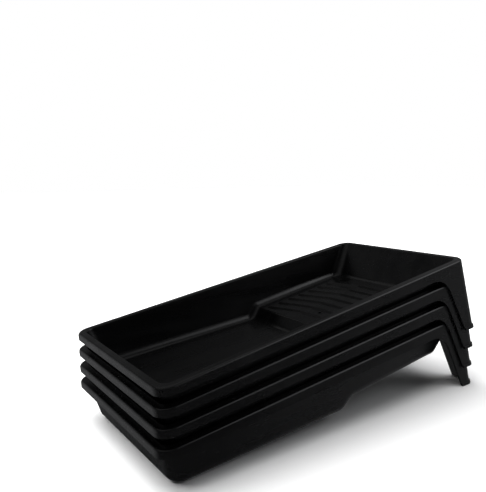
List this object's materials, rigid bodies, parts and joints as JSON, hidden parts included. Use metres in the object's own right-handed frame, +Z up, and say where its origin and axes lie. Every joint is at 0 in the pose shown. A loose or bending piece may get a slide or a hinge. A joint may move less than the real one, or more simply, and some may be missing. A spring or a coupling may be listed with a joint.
{
  "type": "nested paint roller trays",
  "caption": "Nested mini paint roller trays: deep well, step and ribbed ramp under a flat lip, with two corner legs at the ramp end; each tray lifts off the one below.",
  "frame": {"origin": "on the floor, at the centre of the whole stack's footprint box", "axes": "+X from the deep end to the leg end, +Y across to the far long side, +Z up"},
  "size_m": [0.3204, 0.1696, 0.1184],
  "materials": {
    "black_plastic": "glossy black moulded polypropylene"
  },
  "bodies": {
    "bottom_tray": {"bottom_tray": "black_plastic"},
    "second_tray": {"second_tray": "black_plastic"},
    "third_tray": {"third_tray": "black_plastic"},
    "top_tray": {"top_tray": "black_plastic"}
  },
  "joints": [
    {"name": "second_tray_lift", "type": "slide", "parent": "bottom_tray", "child": "second_tray", "axis": [0, 0, 1], "range_m": [0, 0.1]},
    {"name": "third_tray_lift", "type": "slide", "parent": "second_tray", "child": "third_tray", "axis": [0, 0, 1], "range_m": [0, 0.1]},
    {"name": "top_tray_lift", "type": "slide", "parent": "third_tray", "child": "top_tray", "axis": [0, 0, 1], "range_m": [0, 0.1]}
  ]
}
